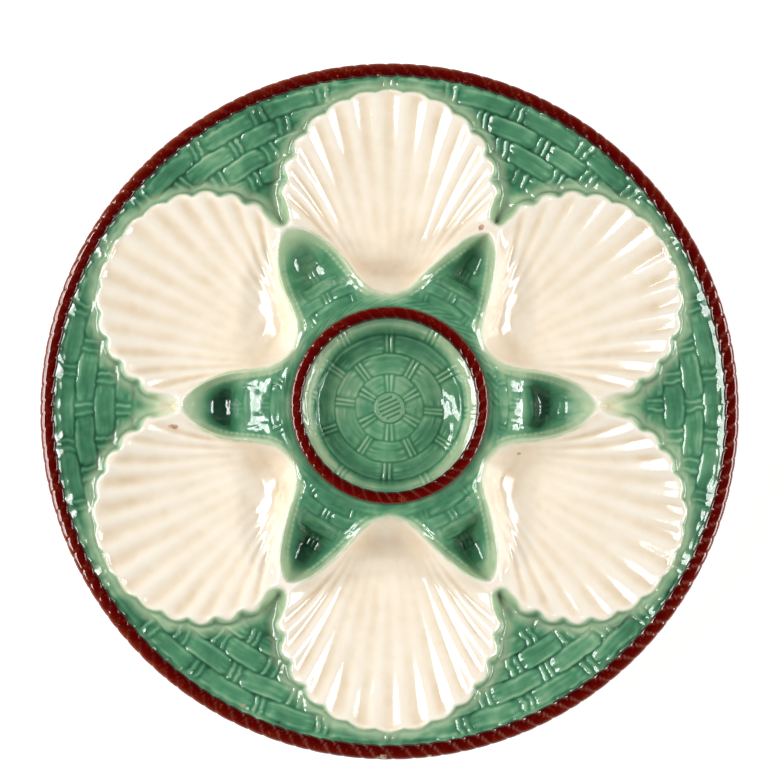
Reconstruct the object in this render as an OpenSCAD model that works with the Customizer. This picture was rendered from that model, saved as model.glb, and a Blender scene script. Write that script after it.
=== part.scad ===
// Oyster plate with six scallop-shell wells and a central dip well,
// glazed earthenware, on a low foot ring.
// Z = 0 is the underside of the foot ring, the Z axis is the plate's axis.
// The first shell well lies along +X + 30 degrees, the others every 60 degrees.

/* [Plate] */
// Diameter over the rim rope
plate_d = 245; // [230:1:260]
// Height of the rim rope's top above the table
rim_h = 29; // [28:0.5:31]
// Radial width of the rim rope, seen from above
rim_rope_w = 5.2; // [4.6:0.1:6]

/* [Shell wells] */
// Height of the deepest point of a shell well's floor
well_floor_z = 11.2; // [10.5:0.1:12.5]
// Wall under the floor of a shell well
well_wall = 5; // [4:0.1:5]
// Height of the raised ribs at the scalloped lip
rib_h = 1.5; // [0:0.1:2]
// Depth of the scallops cut into the lip's outline
scallop = 1; // [0.2:0.1:1.4]

/* [Dip well] */
// Height of the dip well's floor
dip_floor_z = 11.8; // [11:0.1:13]
// Thickness of the rope round the dip well
dip_rope_d = 3.8; // [3.2:0.1:4]
// Diameter of the boss in the middle of the dip well
boss_d = 11.6; // [8:0.2:13]
// Height of the boss
boss_h = 0.9; // [0.5:0.1:1.6]
// Grooves cut across the boss
boss_grooves = 5; // [3:1:5]

/* [Foot] */
// Outer diameter of the foot ring at the table
foot_d = 110; // [104:1:114]
// Width of the foot ring's resting face
foot_w = 3.4; // [2.6:0.1:5]
// Height of the foot ring
foot_h = 6; // [5:0.1:6]

/* [Hidden] */

$fn = 96;
k = plate_d / 245;            // every plan dimension follows the diameter
dz = rim_h - 29;              // lips and rims follow the rim height

cream = [0.95, 0.91, 0.82];
green = [0.32, 0.60, 0.45];
maroon = [0.36, 0.02, 0.02];

// ---- outline of one shell well, in its own frame ----
// u runs outward from the plate's axis through the hinge to the lip's middle, v across.
lip_u = 75;                   // centre of the lip's oval
lip_a = 38.2;                 // half length of the oval along u
lip_b = 39.9;                 // half width of the oval
rib_step = 14.5;              // angle between two ribs, about the oval's centre
touch_out = [67, 67 * tan(30)];   // neighbouring wells touch from here ...
touch_in = [62.4, 62.4 * tan(30)];    // ... to here
hinge_u = 39.2;
// side of the well from the touching point down to the hinge, half outline
side = [touch_in, [62.6, 33], [61, 29], [58.2, 24.6], [54.5, 20.2], [50.4, 16],
        [46.6, 12.5], [43.3, 9.6]];
hinge = [[43.3, -9.6], [40.4, -5.6], [hinge_u, 0], [40.4, 5.6], [43.3, 9.6]];

// fan lines: position on the lip of fan line j, j = -nf .. nf
nf = 28;
step = rib_step / 4;
ns = len(side) - 1;
function bump(a) = scallop * (pow(abs(cos(a * 180 / rib_step)), 0.7) - 0.35);
function lip(a) = [lip_u + (lip_a + bump(a)) * cos(a), (lip_b + bump(a)) * sin(a)];
function lip_pt(j) = abs(j) == nf ? [touch_in[0], sign(j) * touch_in[1]]
                   : abs(j) == nf - 1 ? [touch_out[0], sign(j) * touch_out[1]]
                   : lip(j * step);
function side_pt(i, m) = [side[i][0], m * side[i][1]];
function hinge_pt(j) = let (t = (j / nf + 1) * 2, i = min(3, floor(t)), f = t - i)
    hinge[i] * (1 - f) + hinge[i + 1] * f;

// a point of the well in plan: fan line j, row i from the lip (0) to the hinge (ns)
function plan(j, i) = let (w = (j / nf + 1) / 2, s = i / ns,
        a = lip_pt(j), b = hinge_pt(j),
        c = side_pt(i, -1), d = side_pt(i, 1))
    (1 - s) * a + s * b + (1 - w) * c + w * d
    - ((1 - w) * (1 - s) * lip_pt(-nf) + w * (1 - s) * lip_pt(nf)
       + (1 - w) * s * hinge_pt(-nf) + w * s * hinge_pt(nf));

// ---- heights ----
// lip of a well, by distance from the plate's axis
function lip_z(r) = lookup(r, [[38, 24.4], [55, 23.4], [70, 23.2], [80, 23.8], [95, 25.2], [112, 26.4], [116, 26.6]]) + dz;
// floor of a well along its middle line
function floor_z(u) = lookup(u, [[38, 24.4 + dz], [41, 20.5], [44, 16], [48, well_floor_z + 1], [53, well_floor_z],
    [60, well_floor_z + 0.4], [70, well_floor_z + 2.2], [80, well_floor_z + 4.6], [90, well_floor_z + 7.3],
    [100, well_floor_z + 10.2], [108, well_floor_z + 13], [114, 26.3 + dz]]);
// underside of the plate without the wells, by distance from the axis
function back_z(r) = lookup(r, [[36.3, 13], [44, foot_h], [62, foot_h], [76, foot_h + 5.6], [94, foot_h + 10.2], [117.3, foot_h + 16]]);

function top_z(j, i, p) = let (w = abs(j) / nf, s = i / ns,
        e = lip_z(norm(p)), x = pow(w, 3),
        rib = rib_h / 2 * (1 - cos(j * step * 360 / rib_step)) * min(1, 4 * s) * max(0, 1 - s * 1.3) * min(1, (1 - w) * 5))
    (i == 0 || i == ns || abs(j) == nf) ? e
    : floor_z(p[0]) * (1 - x) + e * x + rib;
function under_z(p, zt) = max(foot_h, min(back_z(norm(p)), zt - well_wall));

module well_solid() {
    n = 2 * nf + 1;
    top = [for (i = [0:ns]) for (j = [-nf:nf]) let (p = plan(j, i)) [p[0], p[1], top_z(j, i, p)]];
    low = [for (i = [0:ns]) for (j = [-nf:nf]) let (p = plan(j, i), q = k * norm(p),
        edge = i == 0 || i == ns || abs(j) == nf)
        [p[0], p[1], edge ? back_z(norm(p)) : under_z(p, top_z(j, i, p))]];
    N = n * (ns + 1);
    function id(i, j) = i * n + j;
    rim = concat([for (j = [0:n - 1]) id(0, j)], [for (i = [1:ns]) id(i, n - 1)],
                 [for (j = [n - 2:-1:0]) id(ns, j)], [for (i = [ns - 1:-1:1]) id(i, 0)]);
    faces = concat(
        [for (i = [0:ns - 1]) for (j = [0:n - 2]) each [[id(i, j), id(i + 1, j), id(i + 1, j + 1)], [id(i, j), id(i + 1, j + 1), id(i, j + 1)]]],
        [for (i = [0:ns - 1]) for (j = [0:n - 2]) each [[N + id(i, j), N + id(i + 1, j + 1), N + id(i + 1, j)], [N + id(i, j), N + id(i, j + 1), N + id(i + 1, j + 1)]]],
        [for (m = [0:len(rim) - 1]) let (a = rim[m], b = rim[(m + 1) % len(rim)]) each [[a, b, N + b], [a, N + b, N + a]]]);
    polyhedron([for (p = concat(top, low)) [p[0] * k, p[1] * k, p[2]]], faces, convexity = 6);
}

module shell_well(n) { color(cream) rotate([0, 0, 30 + 60 * (n - 1)]) well_solid(); }

// plan of everything inside the lips: six lips joined at the touching points
function rot(p, a) = [p[0] * cos(a) - p[1] * sin(a), p[0] * sin(a) + p[1] * cos(a)];
lips = [for (m = [0:5]) for (j = [-nf + 1:nf - 2]) k * rot(lip_pt(j), 30 + 60 * m)];
star = [for (m = [0:5]) each concat(
    [for (i = [0:ns - 1]) k * rot(side_pt(i, -1), 30 + 60 * m)],
    [for (h = hinge) k * rot(h, 30 + 60 * m)],
    [for (i = [ns - 1:-1:1]) k * rot(side_pt(i, 1), 30 + 60 * m)])];

rope_in = 122.5 - rim_rope_w;   // radius where the rope meets the border, before scaling

module border_basketwork() {
    color(green) difference() {
        rotate_extrude() polygon([
            [76 * k, foot_h + 5.6], [94 * k, foot_h + 10.2], [rope_in * k, foot_h + 16],
            [rope_in * k, 26.6 + dz], [113 * k, 25.4 + dz], [104 * k, 23 + dz],
            [94 * k, 20.8 + dz], [84 * k, 18.8 + dz], [76 * k, 17.4 + dz]]);
        linear_extrude(rim_h + 5) polygon(lips);
    }
}

module inner_basketwork() {
    color(green) difference() {
        intersection() {
            rotate_extrude() polygon([
                [36.3 * k, 13], [44 * k, foot_h], [62 * k, foot_h], [74 * k, foot_h + 4.8],
                [74 * k, 22.6 + dz], [70.5 * k, 20.6 + dz], [67 * k, 16.5], [63.5 * k, 13.2], [60 * k, 11.6],
                [56 * k, 11.4], [52 * k, 12.6], [47 * k, 15.4], [42 * k, 18.8], [38.5 * k, 21.6], [36.3 * k, 22.8]]);
            linear_extrude(rim_h + 5) polygon(star);
        }
    }
}

module dip_well() {
    color(green) rotate_extrude() polygon([
        [0, 6.6], [20 * k, 6.6], [25 * k, 7.4], [29 * k, 10.4], [32 * k, 12.6], [36.3 * k, 13],
        [36.3 * k, 22.8], [34.6 * k, 23.4], [30.8 * k, 23.4], [30.2 * k, 21],
        [28.8 * k, 17.6], [26.6 * k, dip_floor_z + 2.9], [24 * k, dip_floor_z + 1.4],
        [19 * k, dip_floor_z + 0.5], [12 * k, dip_floor_z], [0, dip_floor_z]]);
}

module dip_well_boss() {
    color(green) difference() {
        translate([0, 0, dip_floor_z]) cylinder(h = boss_h, d1 = boss_d * k, d2 = (boss_d - 0.8) * k);
        for (i = [0:boss_grooves - 1])
            rotate([0, 0, 25]) translate([-boss_d * k * 0.36, (i - (boss_grooves - 1) / 2) * boss_d * k * 0.16 - 0.3 * k, dip_floor_z + boss_h - 0.45])
                cube([boss_d * k * 0.72, 0.6 * k, 2]);
    }
}

module dip_well_rope() {
    color(maroon) rotate_extrude() intersection() {
        translate([32.7 * k, 23.4 + dip_rope_d * 0.25]) circle(dip_rope_d / 2);
        translate([0, 23.4]) square([60, 20]);
    }
}

module rim_rope() {
    r = rim_rope_w * k * 0.6;
    color(maroon) rotate_extrude() intersection() {
        translate([122.5 * k - r, rim_h - r]) circle(r);
        translate([rope_in * k, 0]) square([60, 60]);
    }
}

module foot_ring() {
    color(cream) rotate_extrude() polygon([
        [(foot_d / 2 - foot_w) * k, 0], [foot_d / 2 * k, 0], [(foot_d / 2 + 0.6) * k, 0.8],
        [(foot_d / 2 + 1.8) * k, foot_h], [(foot_d / 2 - foot_w - 1.6) * k, foot_h],
        [(foot_d / 2 - foot_w - 0.6) * k, 0.8]]);
}

border_basketwork();
inner_basketwork();
shell_well(1);  // shell_well_1
shell_well(2);  // shell_well_2
shell_well(3);  // shell_well_3
shell_well(4);  // shell_well_4
shell_well(5);  // shell_well_5
shell_well(6);  // shell_well_6
dip_well();
dip_well_boss();
dip_well_rope();
rim_rope();
foot_ring();
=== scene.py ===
import math

import bpy
import numpy as np
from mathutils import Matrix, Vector
from mathutils.geometry import delaunay_2d_cdt


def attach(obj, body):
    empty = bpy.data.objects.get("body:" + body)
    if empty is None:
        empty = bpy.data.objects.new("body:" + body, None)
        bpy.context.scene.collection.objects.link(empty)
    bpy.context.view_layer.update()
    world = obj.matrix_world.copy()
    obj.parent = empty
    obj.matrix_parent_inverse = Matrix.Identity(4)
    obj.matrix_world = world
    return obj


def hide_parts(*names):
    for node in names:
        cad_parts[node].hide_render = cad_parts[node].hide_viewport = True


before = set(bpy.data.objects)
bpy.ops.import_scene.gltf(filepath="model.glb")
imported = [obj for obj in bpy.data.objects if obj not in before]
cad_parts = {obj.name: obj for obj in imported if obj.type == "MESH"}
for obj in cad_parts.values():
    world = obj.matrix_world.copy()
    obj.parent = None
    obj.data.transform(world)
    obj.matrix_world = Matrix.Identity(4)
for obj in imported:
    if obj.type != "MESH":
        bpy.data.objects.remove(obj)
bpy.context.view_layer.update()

# Everything below is worked out in millimetres and turned into metres when a mesh is made.
MM = 0.001
PI = math.pi
T30 = math.tan(math.radians(30))


# ------------------------------------------------------------------ small numeric helpers
def sstep(a, b, x):
    t = np.clip((x - a) / (b - a), 0.0, 1.0)
    return t * t * (3 - 2 * t)


def bell(d, w):
    """1 at d = 0, falling smoothly to 0 at |d| = w."""
    return 0.5 + 0.5 * np.cos(PI * np.clip(d / w, -1, 1))


def smin(a, b, k):
    h = np.clip(0.5 + 0.5 * (b - a) / k, 0, 1)
    return b + (a - b) * h - k * h * (1 - h)


def smax(a, b, k):
    return -smin(-a, -b, k)


def curve(points, width):
    """A smooth function through a list of (x, y) points, rounded over about that width."""
    x, y = np.array(points, float).T
    n = 4000
    pad = 4 * width
    xs = np.linspace(x[0] - pad, x[-1] + pad, n)
    lo = (y[1] - y[0]) / (x[1] - x[0])
    hi = (y[-1] - y[-2]) / (x[-1] - x[-2])
    ys = np.interp(xs, x, y)
    ys = np.where(xs < x[0], y[0] + lo * (xs - x[0]), ys)
    ys = np.where(xs > x[-1], y[-1] + hi * (xs - x[-1]), ys)
    h = xs[1] - xs[0]
    m = max(1, int(3 * width / h))
    g = np.exp(-0.5 * (np.arange(-m, m + 1) * h / width) ** 2)
    g /= g.sum()
    out = np.convolve(np.pad(ys, m, mode="edge"), g, "same")[m:-m]
    return lambda q: np.interp(q, xs, out)


def _hash(ix, iy, seed):
    v = ix.astype(np.uint32) * np.uint32(374761393) + iy.astype(np.uint32) * np.uint32(668265263) + np.uint32(seed * 974634777 & 0xFFFFFFFF)
    v = (v ^ (v >> np.uint32(13))) * np.uint32(1274126177)
    v = v ^ (v >> np.uint32(16))
    return (v & np.uint32(0xFFFFFF)) * np.float32(1 / 0xFFFFFF)


def vnoise(x, y, seed):
    """Smooth value noise, -1 to 1, one cell per unit."""
    ix, iy = np.floor(x), np.floor(y)
    fx, fy = x - ix, y - iy
    fx, fy = fx * fx * (3 - 2 * fx), fy * fy * (3 - 2 * fy)
    ix, iy = ix.astype(np.int32), iy.astype(np.int32)
    a, b = _hash(ix, iy, seed), _hash(ix + 1, iy, seed)
    c, d = _hash(ix, iy + 1, seed), _hash(ix + 1, iy + 1, seed)
    return 2 * ((a * (1 - fx) + b * fx) * (1 - fy) + (c * (1 - fx) + d * fx) * fy) - 1


def fnoise(x, y, seed, octaves=3):
    s, a, tot = 0.0, 1.0, 0.0
    for o in range(octaves):
        s = s + a * vnoise(x * 2**o + 17.3 * o, y * 2**o - 9.1 * o, seed + o)
        tot += a
        a *= 0.5
    return s / tot


# ------------------------------------------------------------------ profiles of the plate, as in the CAD part
lip_z = curve([(38, 24.4), (55, 23.4), (70, 23.2), (80, 23.8), (95, 25.2), (112, 26.4), (118, 26.7)], 2.0)
floor_z = curve([(38, 25.2), (39.6, 22.9), (41, 21.1), (44, 17.8), (48, 14.4), (53, 12.3), (60, 11.8), (70, 13.4),
                 (80, 15.8), (90, 18.5), (100, 21.4), (108, 24.2), (114, 26.3), (118, 27.6)], 1.0)
border_z = curve([(60, 15.6), (76, 17.4), (84, 18.8), (94, 20.8), (104, 23.0), (113, 25.4), (117.3, 26.6), (122, 27.8)], 1.5)
inner_z = curve([(34, 23.3), (36.3, 22.95), (39.4, 22.6), (42, 22.1), (44.5, 21.45), (46, 20.95), (47.5, 20.1), (48.5, 19.0), (50, 17.0), (52.6, 13.7),
                 (54.2, 12.4), (57, 12.0), (60, 12.2), (63.5, 13.4), (67, 16.2), (70.5, 20.0), (74, 22.4), (78, 23.4)], 0.8)
# the two level hollows: a smooth shoulder of glaze before the fall, longer on the left
shoulder_r = curve([(34, 23.3), (36.3, 22.95), (39.4, 22.72), (42, 22.5), (44, 22.15), (45.2, 21.75), (46.4, 21.2), (47.6, 20.6), (48.5, 19.9), (50, 18.1), (52.4, 14.3),
                    (54, 12.5), (57, 12.0), (60, 12.2), (63.5, 13.4), (67, 16.2), (70.5, 20.0), (74, 22.4), (78, 23.4)], 0.6)
shoulder_l = curve([(34, 23.3), (36.3, 22.95), (39.4, 22.78), (42, 22.62), (44.5, 22.32), (46.5, 21.9), (48, 21.4), (49.5, 20.7), (51, 19.75), (52, 18.85), (53.5, 17.0), (55, 14.9),
                    (57, 12.9), (59, 12.2), (60, 12.1), (63.5, 13.2), (67, 16.2), (70.5, 20.0), (74, 22.4), (78, 23.4)], 0.6)
# how much the dip well's floor is dished up towards its wall on the right
dish_z = curve([(15, 0), (20, 0), (21, 0.08), (22, 0.30), (22.8, 0.65), (23.6, 1.12), (24.4, 1.70), (26, 2.1), (40, 2.1)], 0.3)
dip_z = curve([(-10, 11.8), (12, 11.8), (19, 12.0), (25.8, 12.6), (26.5, 14.0), (27.5, 17.4), (28.3, 19.8), (29.0, 21.2),
               (30.6, 22.0), (34.6, 23.2), (36.3, 22.95), (40, 22.6)], 0.22)
back_z = curve([(20, 13), (38, 12.0), (44, 6.2), (48, 6), (60, 6), (62, 6.2), (76, 11.6), (94, 16.2), (117.3, 22), (121, 22.8)], 1.2)
dip_back = curve([(-10, 6.6), (20, 6.6), (25, 7.4), (29, 10.4), (32, 12.4), (36.3, 13), (40, 12.4)], 0.8)

WALL_SLOPE = 1.5     # how steeply a lip falls to the border, millimetres per millimetre
RIM_IN, RIM_OUT = 117.3, 122.5
EDGE_R = 118.4        # the border runs this far, just under the rope

# ------------------------------------------------------------------ plan of one shell well
LU, LA, LB = 75.0, 38.2, 39.9
RIB = 14.5            # degrees between ribs, about the lip's centre
A_END = 94.25
TOUCH_OUT = np.array([67.0, 67.0 * T30])
TOUCH_IN = np.array([62.4, 62.4 * T30])
SIDE = np.array([TOUCH_IN, [62.5, 33.0], [61.0, 29.0], [58.2, 24.6], [54.5, 20.2], [50.4, 16.0], [46.6, 12.5], [43.3, 9.6]])
HINGE = np.array([[43.3, 9.6], [40.6, 5.6], [39.3, 0.0], [40.6, -5.6], [43.3, -9.6]])


def bump(a):
    return (0.80 + 0.42 * sstep(8, 55, np.abs(a))) * (np.abs(np.cos(a * 180 / RIB * PI / 180)) ** 0.75 - 0.38)


def lip_xy(a, with_bump=True):
    b = bump(a) * sstep(A_END + 0.01, A_END - 6, np.abs(a)) if with_bump else 0.0
    r = np.radians(a)
    return np.stack([LU + (LA + b) * np.cos(r), (LB + b) * np.sin(r)], -1)


def catmull(P, n):
    """n points along a smooth curve through P, evenly in P's own parameter."""
    P = np.asarray(P, float)
    Q = np.concatenate([[2 * P[0] - P[1]], P, [2 * P[-1] - P[-2]]])
    t = np.linspace(0, len(P) - 1, n)
    i = np.minimum(t.astype(int), len(P) - 2)
    f = (t - i)[:, None]
    a, b, c, d = Q[i], Q[i + 1], Q[i + 2], Q[i + 3]
    return 0.5 * (2 * b + (c - a) * f + (2 * a - 5 * b + 4 * c - d) * f**2 + (3 * b - a - 3 * c + d) * f**3)


SIDE_C = catmull(SIDE, 400)
HINGE_C = catmull(np.concatenate([SIDE[-2:-1], HINGE, SIDE[-2:-1] * [1, -1]]), 601)[100:-100]
HINGE_C = HINGE_C[::-1]                       # from -v to +v


def side_at(t, sign):
    p = np.stack([np.interp(t * 399, np.arange(400), SIDE_C[:, k]) for k in (0, 1)], -1)
    return p * np.array([1.0, sign])


def hinge_at(t):
    n = len(HINGE_C)
    return np.stack([np.interp(t * (n - 1), np.arange(n), HINGE_C[:, k]) for k in (0, 1)], -1)


_aj = np.linspace(-A_END, A_END, 2001)
_L = lip_xy(_aj, False)
_J = _aj / 3.625
_LJ = np.concatenate([[TOUCH_IN * [1, -1], TOUCH_OUT * [1, -1]], _L, [TOUCH_OUT, TOUCH_IN]])
_JJ = np.concatenate([[-28, -27], _J, [27, 28]])


def lip_at(j):
    return np.stack([np.interp(j, _JJ, _LJ[:, k]) for k in (0, 1)], -1)


def coons(w, s):
    w, s = np.asarray(w, float)[..., None], np.asarray(s, float)[..., None]
    w0, s0 = w[..., 0], s[..., 0]
    a, b = lip_at((2 * w0 - 1) * 28), hinge_at(w0)
    c, d = side_at(np.clip(s0, 0, 1), -1.0), side_at(np.clip(s0, 0, 1), 1.0)
    A0, A1, B0, B1 = TOUCH_IN * [1, -1], TOUCH_IN, HINGE_C[0], HINGE_C[-1]
    return ((1 - s) * a + s * b + (1 - w) * c + w * d
            - ((1 - w) * (1 - s) * A0 + w * (1 - s) * A1 + (1 - w) * s * B0 + w * s * B1))


def resample(P, step):
    P = np.asarray(P, float)
    d = np.concatenate([[0], np.cumsum(np.hypot(*np.diff(P, axis=0).T))])
    n = max(2, int(round(d[-1] / step)) + 1)
    t = np.linspace(0, d[-1], n)
    return np.stack([np.interp(t, d, P[:, k]) for k in (0, 1)], -1)


STEP = 0.34
lip_curve = resample(lip_xy(np.linspace(0, A_END, 3000)), STEP)          # half lip, from the middle to the notch
touch_a = resample([lip_curve[-1], TOUCH_OUT], STEP)
lip_half = np.concatenate([lip_curve, touch_a[1:]])                      # middle .. TOUCH_OUT
touch_b = resample([TOUCH_OUT, TOUCH_IN], STEP)
side_half = resample(SIDE_C, STEP)                                       # TOUCH_IN .. hinge corner
hinge_half = resample(HINGE_C[len(HINGE_C) // 2:], STEP)                 # middle .. hinge corner
hinge_half[0, 1] = 0.0
FL = np.array([1.0, -1.0])
inner_half = np.concatenate([side_half, hinge_half[::-1][1:]])           # TOUCH_IN .. hinge middle
outline = np.concatenate([                                               # closed, counter-clockwise from the lip's middle
    lip_half, touch_b[1:], inner_half[1:],
    (inner_half * FL)[::-1][1:], (touch_b * FL)[::-1][1:], (lip_half * FL)[::-1][1:-1]])


def turn(P, deg):
    a = math.radians(deg)
    return P @ np.array([[math.cos(a), math.sin(a)], [-math.sin(a), math.cos(a)]])


# ------------------------------------------------------------------ maps of one shell's own frame, on a fine grid, v >= 0
LG = 0.25
lu = np.arange(30, 126.01, LG)
lv = np.arange(-1.0, 63.01, LG)
LUU, LVV = np.meshgrid(lu, lv, indexing="ij")


def dist_to(P, X, Y, closed=False):
    """Distance from each point to the polyline P, and the place along it."""
    A = P
    B = np.roll(P, -1, 0) if closed else P[1:]
    A = A if closed else P[:-1]
    L = np.hypot(*(B - A).T)
    S = np.concatenate([[0], np.cumsum(L)[:-1]])
    x, y = X.ravel(), Y.ravel()
    out, arc = np.full(len(x), 1e9), np.zeros(len(x))
    for lo in range(0, len(x), 4000):
        px, py = x[lo:lo + 4000, None], y[lo:lo + 4000, None]
        ex, ey = (B - A).T
        t = np.clip(((px - A[:, 0]) * ex + (py - A[:, 1]) * ey) / np.maximum(L * L, 1e-12), 0, 1)
        d = np.hypot(px - A[:, 0] - t * ex, py - A[:, 1] - t * ey)
        k = d.argmin(1)
        r = np.arange(len(k))
        out[lo:lo + 4000] = d[r, k]
        arc[lo:lo + 4000] = S[k] + t[r, k] * L[k]
    return out.reshape(X.shape), arc.reshape(X.shape)


def inside(P, X, Y, centre=(0.0, 0.0)):
    """Whether each point lies inside the closed counter-clockwise loop P, all of which can be seen from centre."""
    x, y = np.asarray(X, float).ravel() - centre[0], np.asarray(Y, float).ravel() - centre[1]
    Q = P - np.array(centre)
    a = np.unwrap(np.arctan2(Q[:, 1], Q[:, 0]))
    if not (np.diff(a) > 0).all():
        raise RuntimeError("the loop folds back as seen from its centre")
    t = a[0] + (np.arctan2(y, x) - a[0]) % (2 * PI)
    i = np.searchsorted(a, t, side="right") - 1
    A, B = Q[i], np.roll(Q, -1, 0)[i]
    side = (B[:, 0] - A[:, 0]) * (y - A[:, 1]) - (B[:, 1] - A[:, 1]) * (x - A[:, 0])
    return (side > 0).reshape(np.shape(X))


coarse_lip = np.concatenate([(lip_half[:40:3] * FL)[::-1], lip_half[1::1]])
coarse_in = np.concatenate([inner_half, (inner_half[-12:-1] * FL)[::-1]])
M_lip, M_liparc = dist_to(coarse_lip, LUU, LVV)
M_in, M_inarc = dist_to(coarse_in, LUU, LVV)
M_inside = inside(outline, LUU, LVV, (75.0, 0.0))

# inverse of coons(): the fan coordinate w and the lip-to-hinge coordinate s of every grid point near the shell
cw, cs = np.meshgrid(np.linspace(0.5, 1, 40), np.linspace(0, 1, 40), indexing="ij")
cp = coons(cw, cs).reshape(-1, 2)
near = (LUU > 37) & (LUU < 116) & (LVV < 43) & (M_inside | (M_lip < 1.2) | (M_in < 1.2))
px, py = LUU[near], LVV[near]
W, S = np.zeros(len(px)), np.zeros(len(px))
for lo in range(0, len(px), 4000):
    k = ((px[lo:lo + 4000, None] - cp[:, 0]) ** 2 + (py[lo:lo + 4000, None] - cp[:, 1]) ** 2).argmin(1)
    W[lo:lo + 4000], S[lo:lo + 4000] = cw.ravel()[k], cs.ravel()[k]
for _ in range(7):
    P0 = coons(W, S)
    e = 1e-3
    Jw = (coons(W + e, S) - coons(W - e, S)) / (2 * e)
    Js = (coons(W, S + e) - coons(W, S - e)) / (2 * e)
    det = Jw[:, 0] * Js[:, 1] - Jw[:, 1] * Js[:, 0]
    det = np.where(np.abs(det) < 1.0, np.sign(det + 1e-9), det)
    rx, ry = px - P0[:, 0], py - P0[:, 1]
    W = np.clip(W + np.clip((rx * Js[:, 1] - ry * Js[:, 0]) / det, -0.05, 0.05), 0.4, 1.03)
    S = np.clip(S + np.clip((ry * Jw[:, 0] - rx * Jw[:, 1]) / det, -0.05, 0.05), -0.06, 1.03)
M_w, M_s = np.full(LUU.shape, 1.0), np.full(LUU.shape, 0.0)
M_w[near], M_s[near] = W, S


def local(M, u, v):
    """Samples a map of the shell's own frame, mirrored for v < 0."""
    x = np.clip((u - lu[0]) / LG, 0, len(lu) - 1.001)
    y = np.clip((np.abs(v) - lv[0]) / LG, 0, len(lv) - 1.001)
    i, j = x.astype(int), y.astype(int)
    fx, fy = x - i, y - j
    return (M[i, j] * (1 - fx) * (1 - fy) + M[i + 1, j] * fx * (1 - fy)
            + M[i, j + 1] * (1 - fx) * fy + M[i + 1, j + 1] * fx * fy)


# ------------------------------------------------------------------ basketwork
def rows_relief(r, th, r0, r1, stakes, gap, off, rw, pad_h, stake_h, corner=1.3, seed=0, fringe=0.0, wedge=0.0, soft=0.75):
    """Relief of one row of basketwork between two radii: padded weavers that tuck in behind pairs of upright stakes.
    gap is from a stake's centre to the weaver's end, off to each ridge of the pair, rw a ridge's half width, in mm."""
    full = np.zeros(r.shape)
    here = (r >= r0) & (r < r1)
    if not here.any():
        return full
    r, th = r[here], th[here]
    st = np.sort(np.array(stakes, float) % 360)
    ext = np.concatenate([[st[-1] - 360], st, [st[0] + 360]])
    i = np.clip(np.searchsorted(ext, th, side="right") - 1, 0, len(ext) - 2)
    mmd = r * PI / 180
    dp, dn = (th - ext[i]) * mmd, (ext[i + 1] - th) * mmd
    d = np.minimum(dp, dn)
    span = dp + dn
    g = gap + wedge * (r - r0)
    b = np.minimum(r - r0, r1 - r)
    a = d - g
    qa, qb = np.maximum(corner - a, 0), np.maximum(corner - b, 0)
    e = corner - np.hypot(qa, qb)
    t = (r - r0) / (r1 - r0)
    edge = sstep(-0.1, soft, e) * (0.30 + 0.70 * sstep(-0.2, corner + 0.3, a))
    mid = np.sin(PI * np.clip(a / np.maximum(span - 2 * g, 0.1), 0, 1)) ** 0.8
    lift = 0.85 + 0.3 * _hash(i, i * 0 + seed, 7)
    pad = pad_h * edge * lift * (0.45 + 0.28 * t + 0.27 * mid)
    stri = 0.035 * vnoise(th * mmd * 0.10 + seed, r * 1.15, 40 + seed) + 0.03 * vnoise(th * mmd * 0.2, r * 2.3, 60 + seed)
    if fringe:
        fr = sstep(5.0, 0.6, a)
        stri = stri + fringe * fr * vnoise(th * mmd * 0.13 + 3.1 * seed, r * 1.35 + 0.5 * vnoise(th * mmd * 0.4, r * 0.5, 5), 80 + seed)
    pad = pad + stri * edge * 1.6
    near = np.where(dn < dp, i + 1, i)
    o = off * (0.84 + 0.34 * _hash(near, near * 0 + seed, 13)) + 0.5 * wedge * (r - r0)
    rr = rw + 0.35 * wedge * (r - r0)
    ends = sstep(-0.1, 0.7, b)
    stake = stake_h * bell(d - o, rr) ** 0.8 * ends * (0.70 + 0.30 * t) * np.where(dn < dp, 1.0, 0.8)
    full[here] = np.maximum(pad, stake)
    return full


STRANDS = 134          # strands of the rim rope

BORDER = [
    (110.7, 117.6, [-5.6, 5.3, 18, 30, 41.3, 52.5, 66.2, 78.8, 90, 102, 114.4, 127, 140, 151, 162.5, 173.8, 187.2, 198, 210,
                    223.2, 233.9, 246.4, 258, 270, 282.9, 294.5, 307.2, 320, 331, 343.4]),
    (104.2, 110.7, [0, 11.3, 48.5, 59.5, 71.9, 110.5, 120.6, 133, 168.5, 180.7, 192.8, 228, 240, 252.4, 288, 300.3, 313.2, 348.5]),
    (97.3, 104.2, [-6.2, 5.5, 53.6, 66.5, 115, 127.3, 174.5, 187.6, 234.4, 245.8, 295.3, 307.3]),
    (91.2, 97.3, [0, 60, 121, 181, 240, 301]),
]


def border_relief(r, th):
    mm = r * PI / 180
    rw = r + 0.60 * fnoise(th * 0.30, r * 0.05, 3) + 0.25 * np.sin(np.radians(th * 3 + 40)) + 0.13 * vnoise(th * mm * 0.45, r * 0.5, 6)
    th0, th = th, th + 0.70 * fnoise(th * 0.22, r * 0.22, 4) + 0.10 * vnoise(th * mm * 0.6, r * 0.7, 8)
    h = 0.0
    for k, (r0, r1, st) in enumerate(BORDER):
        h = h + rows_relief(rw, th, r0, r1, st, 2.6, 1.42, 0.98, 0.72, 0.46, corner=2.3, seed=k, soft=0.55, fringe=0.12)
    # inside the last row the ground turns smooth and hummocky towards the notch between two shells
    return h * sstep(117.0, 115.6, rw) + 0.25 * sstep(91.5, 89, rw) * (1 + fnoise(th0 * 0.3, r * 0.25, 9))


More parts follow.
